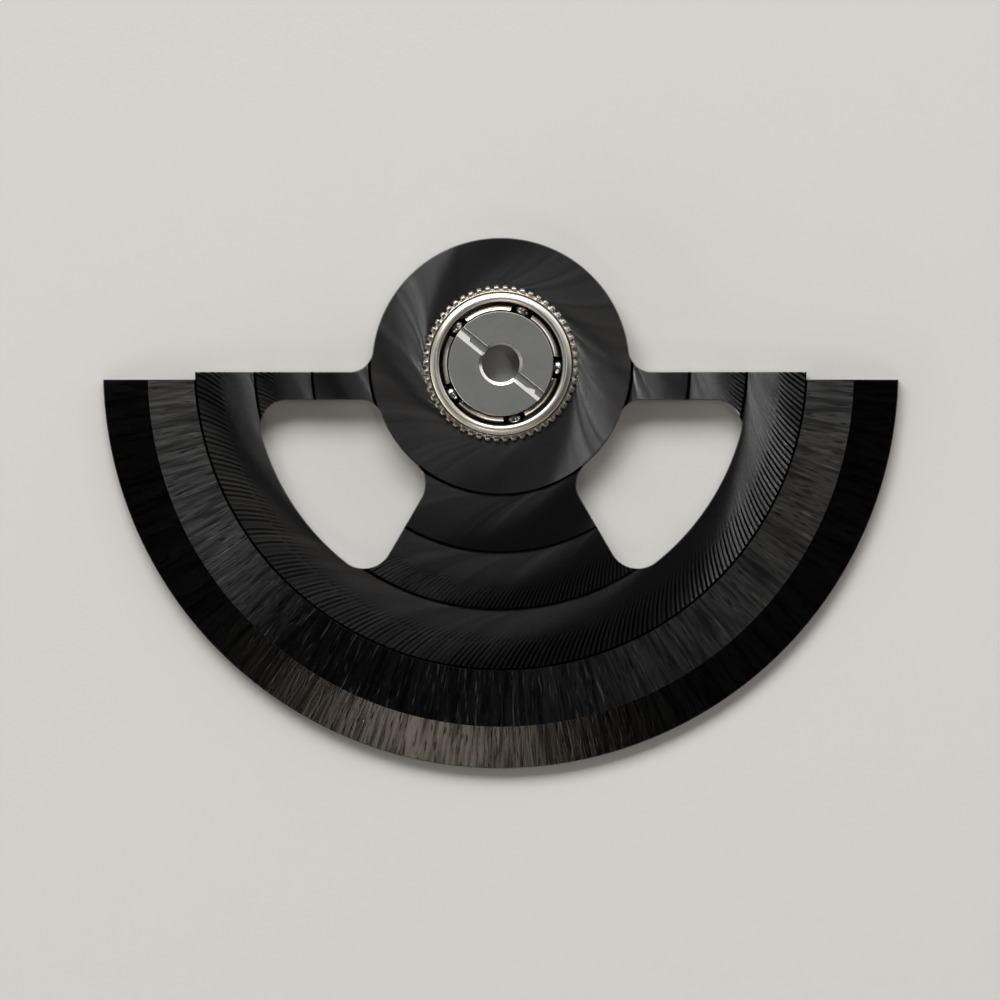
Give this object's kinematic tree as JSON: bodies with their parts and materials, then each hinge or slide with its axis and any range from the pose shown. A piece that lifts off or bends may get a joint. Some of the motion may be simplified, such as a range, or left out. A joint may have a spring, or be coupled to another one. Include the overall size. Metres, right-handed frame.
{
  "type": "automatic watch rotor",
  "caption": "Half-round oscillating weight for a self-winding watch, with a toothed ball bearing in its hub and a heavy bevelled rim.",
  "frame": {"origin": "on the rotation axis, in the plane that the part rests on, which is the lower end of the core's screw bore", "axes": "+Z along the rotation axis, towards the movement; +X along the straight edge of the half disc; the weight lies towards -Y"},
  "size_m": [0.026, 0.0174, 0.0014],
  "materials": {
    "black_plate": "black hard coating over turned and snailed metal",
    "black_weight": "black hard coating over radially brushed heavy metal",
    "black_pin": "black coated pin, dressed flush",
    "polished_race": "mirror polished nickel steel",
    "gear_nickel": "nickel plated, cut teeth",
    "core_grey": "matte grey steel",
    "cage_metal": "bright rolled sheet",
    "ball_steel": "polished steel ball"
  },
  "bodies": {
    "core": {"core_body": "core_grey", "core_disc": "core_grey"},
    "rotor": {"rotor_plate": "black_plate", "rim_weight": "black_weight", "rim_pin_1": "black_pin", "rim_pin_2": "black_pin", "rim_pin_3": "black_pin", "rim_pin_4": "black_pin", "rim_pin_5": "black_pin", "outer_race": "polished_race", "winding_gear": "gear_nickel"},
    "cage": {"ball_cage": "cage_metal"},
    "ball_1": {"ball_1": "ball_steel"},
    "ball_2": {"ball_2": "ball_steel"},
    "ball_3": {"ball_3": "ball_steel"},
    "ball_4": {"ball_4": "ball_steel"},
    "ball_5": {"ball_5": "ball_steel"}
  },
  "joints": [
    {"name": "rotor_spin", "type": "hinge", "parent": "core", "child": "rotor", "pos_m": [0, 0, 0], "axis": [0, 0, 1], "continuous": true},
    {"name": "cage_spin", "type": "hinge", "parent": "core", "child": "cage", "pos_m": [0, 0, 0.00072], "axis": [0, 0, 1], "continuous": true},
    {"name": "ball_1_spin", "type": "hinge", "parent": "cage", "child": "ball_1", "pos_m": [0.00188, -0.00013, 0.00072], "axis": [0, 0, 1], "continuous": true},
    {"name": "ball_2_spin", "type": "hinge", "parent": "cage", "child": "ball_2", "pos_m": [0.0007, 0.00174, 0.00072], "axis": [0, 0, 1], "continuous": true},
    {"name": "ball_3_spin", "type": "hinge", "parent": "cage", "child": "ball_3", "pos_m": [-0.00144, 0.00121, 0.00072], "axis": [0, 0, 1], "continuous": true},
    {"name": "ball_4_spin", "type": "hinge", "parent": "cage", "child": "ball_4", "pos_m": [-0.00159, -0.001, 0.00072], "axis": [0, 0, 1], "continuous": true},
    {"name": "ball_5_spin", "type": "hinge", "parent": "cage", "child": "ball_5", "pos_m": [0.00045, -0.00182, 0.00072], "axis": [0, 0, 1], "continuous": true}
  ],
  "couplings": [
    {"joint": "cage_spin", "follows": "rotor_spin", "ratio": 0.5645},
    {"joint": "ball_1_spin", "follows": "rotor_spin", "ratio": 3.812},
    {"joint": "ball_2_spin", "follows": "rotor_spin", "ratio": 3.812},
    {"joint": "ball_3_spin", "follows": "rotor_spin", "ratio": 3.812},
    {"joint": "ball_4_spin", "follows": "rotor_spin", "ratio": 3.812},
    {"joint": "ball_5_spin", "follows": "rotor_spin", "ratio": 3.812}
  ]
}
